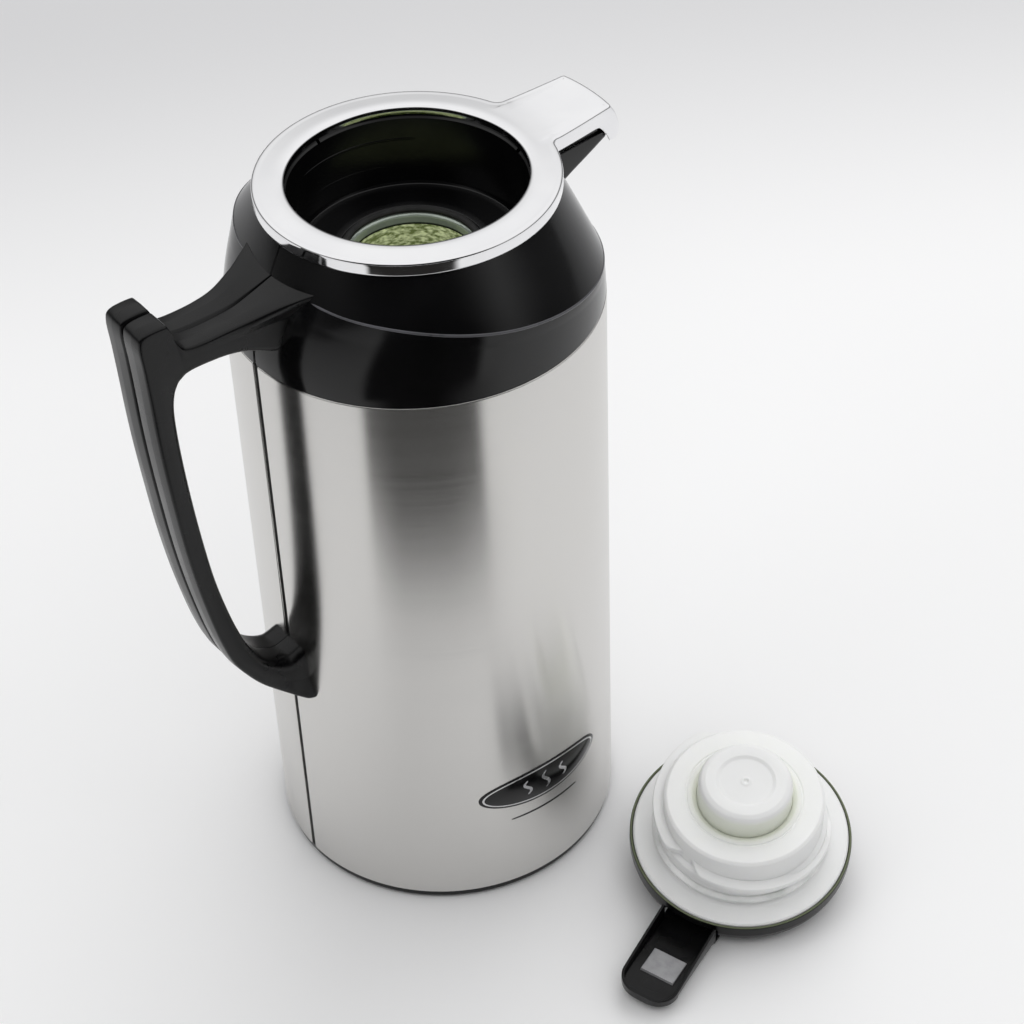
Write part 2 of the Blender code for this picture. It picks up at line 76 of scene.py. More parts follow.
# ---- materials ---------------------------------------------------------------
class Surface:
    """A Principled material with helpers for its procedural detail."""

    def __init__(self, name, color, roughness, **sockets):
        self.material = bpy.data.materials.new(name)
        self.material.use_nodes = True
        self.tree = self.material.node_tree
        self.shader = self.tree.nodes["Principled BSDF"]
        self.shader.inputs["Base Color"].default_value = (*color, 1.0)
        self.shader.inputs["Roughness"].default_value = roughness
        for socket, value in sockets.items():
            self.shader.inputs[socket.replace("_", " ")].default_value = value
        self.color = color

    def node(self, kind, **values):
        made = self.tree.nodes.new(kind)
        for key, value in values.items():
            setattr(made, key, value)
        return made

    def link(self, output, target):
        self.tree.links.new(output, target)

    def position(self, stretch=(1.0, 1.0, 1.0)):
        """Place on the piece, in metres, stretched along its axes."""
        coordinates = self.node("ShaderNodeTexCoord")
        mapping = self.node("ShaderNodeMapping")
        mapping.inputs["Scale"].default_value = stretch
        self.link(coordinates.outputs["Object"], mapping.inputs["Vector"])
        return mapping.outputs["Vector"]

    def noise(self, scale, stretch=(1.0, 1.0, 1.0), detail=2.0):
        texture = self.node("ShaderNodeTexNoise")
        texture.inputs["Scale"].default_value = scale
        texture.inputs["Detail"].default_value = detail
        self.link(self.position(stretch), texture.inputs["Vector"])
        return texture.outputs["Fac"]

    def remap(self, value, low, high, start=0.3, end=0.7, smooth=False):
        mapped = self.node("ShaderNodeMapRange")
        if smooth:
            mapped.interpolation_type = "SMOOTHSTEP"
        mapped.inputs["From Min"].default_value = start
        mapped.inputs["From Max"].default_value = end
        mapped.inputs["To Min"].default_value = low
        mapped.inputs["To Max"].default_value = high
        self.link(value, mapped.inputs["Value"])
        return mapped.outputs["Result"]

    def math(self, operation, first, second):
        made = self.node("ShaderNodeMath", operation=operation)
        for value, socket in ((first, made.inputs[0]), (second, made.inputs[1])):
            if isinstance(value, (int, float)):
                socket.default_value = value
            else:
                self.link(value, socket)
        return made.outputs["Value"]

    def mix(self, factor, first, second):
        """Colour between two colours or colour outputs."""
        made = self.node("ShaderNodeMix", data_type="RGBA")
        self.link(factor, made.inputs["Factor"])
        for value, letter in ((first, "A"), (second, "B")):
            socket = [s for s in made.inputs if s.name == letter and s.type == "RGBA"][0]
            if isinstance(value, tuple):
                socket.default_value = (*value, 1.0)
            else:
                self.link(value, socket)
        return [s for s in made.outputs if s.type == "RGBA"][0]

    def vary_roughness(self, low, high, scale):
        self.link(self.remap(self.noise(scale), low, high), self.shader.inputs["Roughness"])

    def vary_color(self, other, scale):
        """Clouds the base colour with another one and returns the colour output."""
        factor = self.remap(self.noise(scale, detail=3.0), 0.0, 1.0, 0.35, 0.65)
        mixed = self.mix(factor, self.color, other)
        self.link(mixed, self.shader.inputs["Base Color"])
        return mixed

    def relief(self, height, depth):
        """Bump from a height output; depth is in metres."""
        bump = self.node("ShaderNodeBump")
        bump.inputs["Distance"].default_value = depth
        bump.inputs["Strength"].default_value = 1.0
        self.link(height, bump.inputs["Height"])
        self.link(bump.outputs["Normal"], self.shader.inputs["Normal"])

    def radius(self):
        """Distance from the piece's own Z axis, in metres."""
        parts = self.node("ShaderNodeSeparateXYZ")
        self.link(self.position(), parts.inputs["Vector"])
        x, y = parts.outputs["X"], parts.outputs["Y"]
        return self.math("SQRT", self.math("ADD", self.math("MULTIPLY", x, x), self.math("MULTIPLY", y, y)), 0.5)

    def height(self):
        parts = self.node("ShaderNodeSeparateXYZ")
        self.link(self.position(), parts.inputs["Vector"])
        return parts.outputs["Z"]


def black_plastic(name, low, high, grain=0.0000025, gloss=1.42, edge=None, tone=0.0022):
    """Moulded black plastic with fine texture and faint clouding; above edge it turns to a grey-green lip, which is
    a painted highlight on the rim.
    """
    surface = Surface(name, (tone, tone, tone * 1.09), low, IOR=gloss)
    color = surface.vary_color((tone * 1.8, tone * 1.8, tone * 2.0), 34.0)
    if edge is not None:
        # painted highlight: above edge the black is mixed to grey-green to stand in for light caught on the rim
        lip = surface.remap(surface.height(), 0.0, 1.0, edge - 0.0003, edge, smooth=True)
        surface.link(surface.mix(lip, color, (0.13, 0.15, 0.09)), surface.shader.inputs["Base Color"])
    surface.vary_roughness(low, high, 60.0)
    fine = surface.noise(2600.0, detail=1.0)
    wave = surface.noise(26.0, detail=1.0)
    surface.relief(surface.math("ADD", fine, surface.math("MULTIPLY", wave, 26.0)), grain)
    return surface.material


def white_plastic(name, ring=None, below=None):
    """Moulded white plastic, a little translucent; ring and below are where it looks faintly green, which is painted
    shade: in the recess round the valve button and down the button's side wall.
    """
    surface = Surface(name, (0.93, 0.935, 0.925), 0.32, IOR=1.48, Subsurface_Weight=0.25,
                      Subsurface_Scale=0.006)
    surface.shader.inputs["Subsurface Radius"].default_value = (1.0, 1.0, 0.9)
    color = surface.vary_color((0.91, 0.915, 0.905), 60.0)
    if ring:
        # painted shade: a greener, darker white inside the given span of radii
        green = surface.remap(surface.radius(), 1.0, 0.0, *ring, smooth=True)
        color = surface.mix(green, color, (0.87, 0.89, 0.80))
    if below:
        # painted shade: a greener, darker white below the given height
        green = surface.remap(surface.height(), 1.0, 0.0, *below, smooth=True)
        color = surface.mix(green, color, (0.84, 0.87, 0.76))
    surface.link(color, surface.shader.inputs["Base Color"])
    surface.vary_roughness(0.30, 0.42, 90.0)
    surface.relief(surface.noise(1500.0, detail=1.0), 0.000003)
    return surface.material


def brushed_steel():
    """Stainless sheet brushed round the jug, so its reflections draw out up and down."""
    surface = Surface("brushed_steel", (0.70, 0.69, 0.67), 0.24, Metallic=1.0, Anisotropic=0.85,
                      Anisotropic_Rotation=0.25)
    tangent = surface.node("ShaderNodeTangent", direction_type="RADIAL", axis="Z")
    surface.link(tangent.outputs["Tangent"], surface.shader.inputs["Tangent"])
    streak = surface.noise(1.0, (5.0, 5.0, 3200.0), 3.0)
    broad = surface.noise(1.0, (9.0, 9.0, 60.0), 2.0)
    marks = surface.math("ADD", streak, surface.math("MULTIPLY", broad, 0.5))
    factor = surface.remap(marks, 0.0, 1.0, 0.5, 1.0)
    color = surface.mix(factor, (0.675, 0.663, 0.643), (0.70, 0.692, 0.675))
    surface.link(color, surface.shader.inputs["Base Color"])
    surface.link(surface.remap(marks, 0.21, 0.27, 0.5, 1.0), surface.shader.inputs["Roughness"])
    surface.relief(streak, 0.000004)
    return surface.material


def chrome(name):
    surface = Surface(name, (0.86, 0.86, 0.87), 0.05, Metallic=1.0)
    surface.vary_color((0.83, 0.83, 0.845), 50.0)
    surface.vary_roughness(0.035, 0.09, 120.0)
    surface.relief(surface.noise(42.0, detail=1.0), 0.000018)
    return surface.material


def polished_metal(name, color=(0.66, 0.66, 0.66)):
    surface = Surface(name, color, 0.25, Metallic=1.0)
    surface.vary_roughness(0.18, 0.34, 400.0)
    surface.relief(surface.noise(1800.0), 0.000004)
    return surface.material


def silvered_glass(rim_z):
    """Silvered glass: a pale grey-green fused rim, a dark line, then bright yellow-green silver in the neck, whose
    bright and dark mottling is painted reflection.
    """
    surface = Surface("silvered_glass", (0.62, 0.70, 0.52), 0.08, Metallic=0.35, Coat_Weight=0.6)
    level = surface.height()
    rim = surface.remap(level, 0.0, 1.0, rim_z - 0.0040, rim_z - 0.0034, smooth=True)
    line = surface.remap(level, 0.0, 1.0, rim_z - 0.0052, rim_z - 0.0046, smooth=True)
    # painted reflection: the green tint is the glass's own, the bright and dark mottling of the silver stands in for
    # the mirrored walls it reflects
    ripple = surface.noise(170.0, (1.0, 1.0, 0.45), 3.0)
    ripple_mix = surface.remap(ripple, 0.0, 1.0, 0.42, 0.60)
    silver = surface.mix(ripple_mix, (0.30, 0.42, 0.14), (0.97, 1.0, 0.74))
    silver = surface.mix(line, silver, (0.03, 0.04, 0.03))
    surface.link(surface.mix(rim, silver, (0.44, 0.50, 0.44)), surface.shader.inputs["Base Color"])
    surface.relief(ripple, 0.0005)
    return surface.material


def silvering_painted_glow():
    """Speckled silver inside the bottle's neck, with a painted glow: its speckle colours are also emitted weakly,
    standing in for light from the mirrored walls below.
    """
    surface = Surface("silvering_painted_glow", (0.75, 0.85, 0.50), 0.2, Metallic=0.3, Emission_Strength=0.24)
    speck = surface.noise(420.0, (1.0, 1.0, 2.2), 2.0)
    dark, light = (0.20, 0.25, 0.09), (0.92, 1.0, 0.60)
    color = surface.mix(surface.remap(speck, 0.0, 1.0, 0.38, 0.66), dark, light)
    surface.link(color, surface.shader.inputs["Base Color"])
    # painted glow: the speckle colours are also emitted, though the lining is no lamp
    surface.link(color, surface.shader.inputs["Emission Color"])
    surface.relief(speck, 0.0003)
    return surface.material


def rubber(name, color):
    surface = Surface(name, color, 0.7)
    surface.vary_color(tuple(min(1.0, c * 1.35 + 0.004) for c in color), 80.0)
    surface.vary_roughness(0.6, 0.85, 150.0)
    surface.relief(surface.noise(1900.0), 0.00001)
    return surface.material


GLOSS_BLACK = black_plastic("gloss_black", 0.10, 0.17)
SATIN_BLACK = black_plastic("satin_black", 0.24, 0.32, 0.0000035, gloss=1.36)
# painted highlight: a lighter grey for the bead that draws the collar crease's highlight
CREASE_HIGHLIGHT = black_plastic("crease_painted_highlight", 0.26, 0.34, tone=0.055)
NECK_BLACK = black_plastic("neck_black", 0.16, 0.26)
# the grey-green band at the top of the cover's rim is a painted highlight
STOPPER_BLACK = black_plastic("stopper_black", 0.24, 0.32, gloss=1.34, edge=-0.00085)
STEEL = brushed_steel()
CHROME = chrome("chrome")
METAL = polished_metal("polished_metal")
# painted shade, faintly green, in the recess round the valve button
WHITE = white_plastic("white_plastic", ring=(0.0185, 0.0235))
# painted shade, faintly green, down the valve button's side wall
CAP_WHITE = white_plastic("cap_white", below=(0.0325, 0.0355))
SILICONE = rubber("silicone", (0.74, 0.76, 0.74))
RUBBER = rubber("black_rubber", (0.012, 0.012, 0.012))
SILVERING_PAINTED_GLOW = silvering_painted_glow()


# ---- mesh tools --------------------------------------------------------------
SHARP = 40.0  # degrees between two faces from which their edge is shaded sharp


def rounded(points, closed=True, steps=5):
    """Outline through (u, v) or (u, v, radius) points, with an arc at each corner that has a radius."""
    line = []
    for i, point in enumerate(points):
        here = np.array(point[:2], float)
        if len(point) < 3 or (not closed and i in (0, len(points) - 1)):
            line.append(here)
            continue
        back = np.array(points[i - 1][:2], float) - here
        ahead = np.array(points[(i + 1) % len(points)][:2], float) - here
        room = 0.48 * min(np.linalg.norm(back), np.linalg.norm(ahead))
        back /= np.linalg.norm(back)
        ahead /= np.linalg.norm(ahead)
        half = acos(max(-1.0, min(1.0, float(back @ ahead)))) / 2
        if half > radians(89.7):
            line.extend([here] * (steps + 1))
            continue
        reach = min(point[2] / tan(half), room)
        middle = here + (back + ahead) / np.linalg.norm(back + ahead) * reach / cos(half)
        start = here + back * reach - middle
        end = here + ahead * reach - middle
        sweep = pi - 2 * half
        for k in range(steps + 1):
            share = k / steps
            arc = (sin((1 - share) * sweep) * start + sin(share * sweep) * end) / sin(sweep)
            line.append(middle + arc)
    return line


def smooth_rows(rows, cuts):
    """Catmull-Rom curve through rows of numbers, with cuts steps between two rows."""
    rows = np.array(rows, float)
    padded = np.vstack([2 * rows[0] - rows[1], rows, 2 * rows[-1] - rows[-2]])
    out = []
    for i in range(1, len(padded) - 2):
        p0, p1, p2, p3 = padded[i - 1:i + 3]
        for k in range(cuts):
            t = k / cuts
            out.append(0.5 * (2 * p1 + (p2 - p0) * t + (2 * p0 - 5 * p1 + 4 * p2 - p3) * t ** 2
                              + (3 * p1 - p0 - 3 * p2 + p3) * t ** 3))
    out.append(rows[-1])
    return np.array(out)


def link(name, mesh):
    obj = bpy.data.objects.new(name, mesh)
    bpy.context.scene.collection.objects.link(obj)
    return obj


def skin(name, rows, ring=False, closed=True, caps=False, sharp=SHARP):
    """Surface over rows of points in mm; ring joins the last row to the first, closed joins each row's ends."""
    count = len(rows[0])
    faces = []
    for i in range(len(rows) if ring else len(rows) - 1):
        a, b = i * count, (i + 1) % len(rows) * count
        for j in range(count if closed else count - 1):
            k = (j + 1) % count
            faces.append((a + j, a + k, b + k, b + j))
    if caps:
        faces.append(tuple(range(count)))
        faces.append(tuple((len(rows) - 1) * count + j for j in range(count)))
    mesh = bpy.data.meshes.new(name)
    mesh.from_pydata((np.array(rows, float).reshape(-1, 3) * MM).tolist(), [], faces)
    work = bmesh.new()
    work.from_mesh(mesh)
    bmesh.ops.remove_doubles(work, verts=work.verts, dist=1e-7)
    bmesh.ops.recalc_face_normals(work, faces=work.faces)
    work.to_mesh(mesh)
    work.free()
    mesh.shade_smooth()
    mesh.set_sharp_from_angle(angle=radians(sharp))
    return link(name, mesh)


def lathe(name, profile, closed=True, steps=160, arc_steps=5, sharp=SHARP):
    """Turned piece from an (r, z) or (r, z, radius) outline."""
    line = rounded(profile, closed, arc_steps)
    rows = []
    for k in range(steps):
        turn = 2 * pi * k / steps
        rows.append([(r * cos(turn), r * sin(turn), z) for r, z in line])
    return skin(name, rows, ring=True, closed=closed, sharp=sharp)


def cut(obj, tool, operation="DIFFERENCE"):
    """Cuts obj with tool, or joins them, and removes the tool."""
    modifier = obj.modifiers.new("cut", "BOOLEAN")
    modifier.operation = operation
    modifier.solver = "EXACT"
    modifier.object = tool
    bpy.context.view_layer.update()
    evaluated = obj.evaluated_get(bpy.context.evaluated_depsgraph_get())
    mesh = bpy.data.meshes.new_from_object(evaluated)
    obj.modifiers.clear()
    obj.data = mesh
    bpy.data.objects.remove(tool)
    mesh.shade_smooth()
    mesh.set_sharp_from_angle(angle=radians(SHARP))


def brick(name, low, high):
    """Box between two corners, as a cutting or joining tool."""
    x0, y0, z0 = low
    x1, y1, z1 = high
    return skin(name, [[(x, y0, z0), (x, y1, z0), (x, y1, z1), (x, y0, z1)] for x in (x0, x1)], caps=True)


def show(obj, look, body, *nodes, slot=None):
    """Gives a piece its material and its body, and hides the CAD nodes that it stands for; slot is not used."""
    obj.data.materials.clear()
    obj.data.materials.append(look)
    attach(obj, body)
    if nodes:
        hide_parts(*nodes)
    return obj


def reach(node):
    """Largest distance of a CAD node from the jug's axis, in mm."""
    low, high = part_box(node)
    return max(abs(low.y), abs(high.y)) / MM


def span(node):
    """Lowest and highest point of a CAD node, in mm."""
    low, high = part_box(node)
    return low.z / MM, high.z / MM


# ---- driving sizes (mm), some from the CAD boxes and the rest given ----------
BODY_R = reach("steel_jacket")
JACKET_LOW, JACKET_HIGH = span("steel_jacket")
RING_TOP = span("chrome_ring")[1] - 0.2
RING_R = reach("chrome_ring")
SKIRT_Z = 293.8
MOUTH_R = 42.2
GLASS_TOP = span("glass_liner")[1]
RIDGE_Z = 272.5  # crease of the collar where it passes the jug's axis
RIDGE_SLOPE = 0.184
COLLAR_TOP_R = 52.3
COLLAR_FOOT_R = 67.8
SPOUT_ROOT, SPOUT_TIP = 54.6, 79.6
SPOUT_FACE, NOSE_TIP = 80.4, 84.2
WINDOW_END = 72.4  # where the chrome's lower edge starts to drop to the nose


# ---- jug ---------------------------------------------------------------------
def build_base():
    cup = lathe("foot_cup", [
        (66.9, 12.0), (66.9, 5.2), (67.5, 4.4, 0.3), (67.3, 1.6, 1.4), (65.2, 0.0, 0.8), (58.0, 0.0, 0.8),
        (56.0, 2.0, 0.8), (30.0, 2.0, 0.8), (28.0, 0.0, 0.6), (24.0, 0.0, 0.6), (24.0, 8.0), (27.0, 4.5, 2.0),
        (60.0, 4.5, 2.0), (64.6, 12.0)])
    show(cup, SATIN_BLACK, "jug", "base_cup")


def build_jacket():
    """Rolled sheet with a turned-in edge on each side of its seam."""
    wall, seam, roll = 0.6, 1.2, 0.5
    start = (seam + roll) / BODY_R
    path = []
    for depth in (4.2, 2.6):
        path.append(((-BODY_R + roll + depth, seam), (0.0, -1.0)))
    for k in range(7):
        turn = pi / 2 * k / 6
        middle = (-(BODY_R - roll) * cos(start), seam + roll)
        path.append(((middle[0] - roll * sin(turn), middle[1] - roll * cos(turn)), (-sin(turn), -cos(turn))))
    for k in range(1, 240):
        phi = start + (pi - start) * k / 240
        path.append(((-BODY_R * cos(phi), BODY_R * sin(phi)), (-cos(phi), sin(phi))))
    mirrored = [((x, -y), (nx, -ny)) for (x, y), (nx, ny) in reversed(path)]
    path = path + [((BODY_R, 0.0), (1.0, 0.0))] + mirrored
    low, high = JACKET_LOW, JACKET_HIGH
    rows = []
    for (x, y), (nx, ny) in path:
        section = rounded([(-0.34, high - 0.03), (-0.12, high - 0.26), (0.0, high - 0.62), (0.0, low, 0.28),
                           (-wall, low, 0.2), (-wall, high)], steps=3)
        rows.append([(x + nx * out, y + ny * out, z) for out, z in section])
    show(skin("jacket_shell", rows, caps=True), STEEL, "jug", "steel_jacket")
    # painted shade: a dark strip just inside the seam's gap stands in for the shade in the gap
    strip = [[(x, y, z) for x, y in rounded([(-67.2, -1.17, 0.1), (-66.3, -1.17, 0.1), (-66.3, 1.17, 0.1),
                                             (-67.2, 1.17, 0.1)], True, 2)]
             for z in (low + 1.0, (low + high) / 2, high - 1.0)]
    show(skin("seam_shade_strip", strip, caps=True), RUBBER, "jug", slot="steel_jacket")


def ridge(phi):
    """Crease radius and height; phi is the angle from the handle."""
    phi = abs((phi + pi) % (2 * pi) - pi)
    if phi < pi / 2:
        radius = 57.7 + 10.0 * sin(phi) ** 2
    else:
        radius = 67.7 - 0.8 * cos(phi) ** 2
    sag = 1.45 * exp(-((degrees(phi) - 30.0) / 18.0) ** 2)
    return radius, RIDGE_Z + RIDGE_SLOPE * radius * cos(phi) - sag


def collar_outline(phi, sunk):
    """Outer side of the collar from under the ring to the jacket; sunk presses it in for the parting line."""
    rr, rz = ridge(phi)
    top_z, foot_z = SKIRT_Z - 0.3, JACKET_HIGH + 0.3
    middle = (COLLAR_TOP_R + (rr - COLLAR_TOP_R) * 0.5, top_z + (rz - top_z) * 0.5 + 0.25)
    line = rounded([(COLLAR_TOP_R, top_z), middle, (rr, rz, 0.85),
                    (rr + (COLLAR_FOOT_R - rr) * 0.20 + 0.1, rz + (foot_z - rz) * 0.13)], False, 8)
    for k in range(1, 15):
        t = 0.13 + 0.87 * k / 14
        line.append((rr + (COLLAR_FOOT_R - rr) * sin(t * pi / 2), rz + (foot_z - rz) * t))
    return [(r - sunk, z) for r, z in line]


def build_collar():
    steps = 288
    angles = [2 * pi * k / steps for k in range(steps)]
    line_half = 0.35 / 57.0  # half the parting line's width, in radians
    angles += [-line_half * 2, -line_half, line_half, line_half * 2]
    rows = []
    for phi in sorted(angles, key=lambda a: a % (2 * pi)):
        near = abs((phi + pi) % (2 * pi) - pi) < line_half * 1.5
        outer = collar_outline(phi, 0.45 if near else 0.0)
        inner = [(r - 2.4, z - 0.8) for r, z in reversed(outer[:-1:2])]
        step = [(67.5, JACKET_HIGH + 0.25), (66.9, JACKET_HIGH + 0.2), (66.9, 243.0), (64.9, 243.0), (64.9, 252.0)]
        rows.append([(-r * cos(phi), -r * sin(phi), z) for r, z in outer + step + inner])
    collar = skin("collar", rows, ring=True)
    cut(collar, spout_space())
    show(collar, GLOSS_BLACK, "jug", "shoulder")


def build_crease_highlight():
    """Thin bead along the collar's crease, sunk so that only a line of it shows; its lighter grey is a painted
    highlight on the crease.
    """
    rows = []
    for k in range(241):
        phi = radians(12.0 + 336.0 * k / 240)
        r, z = ridge(phi)
        size = 0.60 * min(1.0, k / 8, (240 - k) / 8) + 0.02
        above = atan2(r - COLLAR_TOP_R, SKIRT_Z - 0.3 - z)
        below = atan2((COLLAR_FOOT_R - r) * pi / 2, z - JACKET_HIGH)
        lean = (above + below) / 2
        r, z = r - 0.46 * cos(lean), z - 0.46 * sin(lean)
        rows.append([(-(r + size * cos(t)) * cos(phi), -(r + size * cos(t)) * sin(phi), z + size * sin(t))
                     for t in np.linspace(0, 2 * pi, 12, endpoint=False)])
    show(skin("collar_crease_highlight", rows, caps=True), CREASE_HIGHLIGHT, "jug", slot="shoulder")


def spout_half(x):
    """Half the spout's width, which narrows towards the tip."""
    t = (x - SPOUT_ROOT) / (SPOUT_TIP - SPOUT_ROOT)
    return 15.8 - 2.2 * max(min(t, 1.2), -0.2)


# along the spout: x and the trough's underside
SPOUT_FLOOR = [(43.8, 273.0), (50.0, 273.4), (56.0, 275.2), (62.0, 277.9), (67.8, 280.4), (71.9, 282.2),
               (76.0, 284.1), (77.6, 284.8)]
LEDGE_Z = 290.0


def trough(x, low, half, top, recess=0.0):
    """Half-open trough section across the spout, recessed above a small ledge."""
    side = [(half, min(low + 2.8, LEDGE_Z - 0.6), 2.6), (half, LEDGE_Z, 0.3)]
    side += [(half - recess, LEDGE_Z + 0.25, 0.1), (half - recess, top)]
    floor = [(-half + 2.8, low, 2.6), (half - 2.8, low, 2.6)]
    outline = [(-p[0], *p[1:]) for p in reversed(side)] + floor + side
    return [(x, y, z) for y, z in rounded(outline, False, 5)]


def spout_space():
    """Room that the spout needs in the collar, as a cutting tool."""
    rows = []
    for x, low in [(41.0, 272.8)] + SPOUT_FLOOR[1:] + [(88.0, 288.2)]:
        rows.append(trough(x, low - 0.15, spout_half(x) - 1.45, 302.0))
    return skin("spout_seat", rows, caps=True)


def build_spout():
    top = 297.2
    rows = []
    for x, low in smooth_rows(SPOUT_FLOOR, 4):
        half = spout_half(x) - 1.6
        outer = trough(x, low, half, top, 1.2)
        inner = trough(x, low + 1.8, half - 1.7, top)
        rows.append(outer + inner[::-1])
    show(skin("spout_trough", rows, caps=True), GLOSS_BLACK, "jug", "spout_channel")


def thread_rib(name, start, end, low, high, height):
    """Faint thread inside the neck, tapered at both ends."""
    rows = []
    for k in range(49):
        t = k / 48
        turn = radians(start + (end - start) * t)
        z = low + (high - low) * t
        wall = 41.0 + (z - 269.0) * 0.0385
        crest = wall - height * min(1.0, t * 6, (1 - t) * 6) + 0.02
        section = rounded([(wall + 0.3, z - 1.1), (crest, z - 0.35, 0.4), (crest, z + 0.35, 0.4),
                           (wall + 0.3, z + 1.1)], True, 3)
        rows.append([(r * cos(turn), r * sin(turn), h) for r, h in section])
    return skin(name, rows, caps=True)


def build_neck():
    funnel = lathe("neck_funnel_liner", [
        (51.4, 295.8, 0.3), (51.4, 294.2, 0.3), (44.6, 294.0), (44.2, 291.0), (42.9, 276.0), (42.4, 266.2),
        (25.9, 266.2), (25.9, 268.2, 0.4), (28.4, 268.5, 1.2), (38.6, 267.7, 3.0), (40.3, 268.0, 0.7),
        (40.9, 269.0, 0.6), (41.2, 281.0), (41.5, 287.6), (42.0, 294.6), (42.6, 295.2, 0.2),
        (43.0, 295.8, 0.2)], steps=192)
    for phi, width in ((-2.6, 0.9), (-0.2, 1.0), (1.78, 0.7)):
        notch = brick("notch", (41.0, -width, 293.6), (43.4, width, 297.0))
        notch.data.transform(Matrix.Rotation(phi, 4, "Z"))
        cut(funnel, notch)
    cut(funnel, brick("flange_notch", (43.4, -14.6, 289.0), (56.0, 14.6, 300.0)))
    show(funnel, NECK_BLACK, "jug", "neck_funnel")
    for number, sizes in enumerate(((42.0, 128.0, 286.4, 286.9, 0.40), (60.0, 124.0, 275.6, 276.4, 0.32),
                                    (-40.0, 34.0, 280.8, 281.6, 0.28))):
        rib = thread_rib("neck_thread_%d" % number, *sizes)
        show(rib, NECK_BLACK, "jug", slot="neck_funnel")
    gasket = lathe("mouth_gasket", [
        (24.6, 268.95, 0.3), (25.5, 268.6, 0.3), (25.5, 267.6), (22.9, 267.6), (22.9, 268.3, 0.3),
        (23.4, 268.95, 0.3)])
    show(gasket, RUBBER, "jug", "neck_gasket")


def build_glass():
    top = GLASS_TOP
    coffee_side = [(0.0, 26.6), (30.0, 28.0, 20.0), (48.0, 34.0, 12.0), (54.0, 53.0, 14.0), (54.0, 203.0, 16.0),
                   (47.5, 222.0, 12.0), (35.4, 234.3, 9.0), (23.9, 245.8, 5.0), (22.4, 253.5, 5.0),
                   (22.4, top - 1.1, 1.0)]
    outer = [(23.6, top, 1.0), (24.9, top - 1.0, 0.8), (24.9, 253.0, 4.0), (27.0, 247.5, 4.0), (39.0, 240.5, 8.0),
             (52.0, 229.0, 12.0), (59.5, 206.0, 16.0), (59.5, 50.0, 14.0), (54.0, 32.0, 10.0), (40.0, 21.5, 10.0),
             (10.0, 18.0, 4.0), (3.2, 15.6, 1.0), (0.0, 15.3)]
    bottle = lathe("glass_bottle", coffee_side + outer, closed=False, steps=144, sharp=60.0)
    show(bottle, silvered_glass(top * MM), "jug", "glass_liner")
    lining = lathe("silver_lining", [(22.25, top - 4.4), (22.25, 253.2), (23.6, 246.0), (30.0, 238.6)], closed=False,
                   steps=144, sharp=60.0)
    show(lining, SILVERING_PAINTED_GLOW, "jug", slot="glass_liner")


def cover_plan():
    """Outer plan of the ring and the spout's cover: (x, y, outward x, outward y, corner radius) round the jug.

    The points run from the middle of the tip along one side and round the ring, then back mirrored.
    """
    fillet, straight = 4.0, 99.0
    side = 15.75
    cy = side + fillet
    cx = sqrt((RING_R + fillet) ** 2 - cy ** 2)
    first = atan2(cy, cx)
    plan = []
    corner, tip = 1.7, SPOUT_TIP
    half = spout_half(tip - corner)
    for k in range(13):
        y = (half - corner) * k / 12.6
        plan.append((tip + 0.9 - 0.0062 * y * y, y, 1.0, 0.0124 * y, straight))
    for k in range(1, 9):
        turn = pi / 2 * k / 8
        x, y = tip - corner + corner * cos(turn), half - corner + corner * sin(turn)
        plan.append((x, y, cos(turn), sin(turn), corner))
    for k in range(1, 37):
        x = tip - corner - (tip - corner - cx) * (k / 36) ** 1.5
        plan.append((x, spout_half(x), 0.088, 0.996, straight))
    base = -pi / 2
    last = first + pi
    for k in range(1, 9):
        turn = base + (last - 2 * pi - base) * k / 8
        plan.append((cx + fillet * cos(turn), cy + fillet * sin(turn), -cos(turn), -sin(turn), straight))
    for k in range(1, 140):
        turn = first + (pi - first) * k / 140
        plan.append((RING_R * cos(turn), RING_R * sin(turn), cos(turn), sin(turn), straight))
    mirrored = [(x, -y, nx, -ny, room) for x, y, nx, ny, room in reversed(plan[1:])]
    return plan + [(-RING_R, 0.0, -1.0, 0.0, straight)] + mirrored


def skirt_bottom(x, y):
    """Height of the chrome's lower edge: level round the ring and along the cover, low at the nose."""
    if hypot(x, y) < RING_R + 0.05:
        return SKIRT_Z
    if x < WINDOW_END:
        return SKIRT_Z - 0.8 * min(1.0, (hypot(x, y) - RING_R) / 2.0)
    t = min(1.0, (x - WINDOW_END) / 4.0)
    return 285.9 + 7.1 * (1.0 - t ** 1.6) ** 1.3 + 0.29 * max(0.0, x - 76.4)


# height and how far the nose stands out there
NOSE = [(285.7, 2.7), (286.6, 3.2), (287.6, 3.5), (289.4, NOSE_TIP - SPOUT_FACE), (291.5, 3.5), (293.5, 2.7),
        (295.2, 1.9), (297.0, 0.8), (298.4, 0.0)]


def cover_lift(x):
    """The spout's cover rises a little towards its tip."""
    return 1.6 * (max(0.0, x - 55.0) / 25.0) ** 1.3


def nose_bulge(x, z):
    """How far the chrome stands out towards the spout's tip."""
    t = max(0.0, min(1.0, (x - 70.0) / (SPOUT_TIP - 70.0)))
    return t * t * (3 - 2 * t) * float(np.interp(z, *zip(*NOSE)))


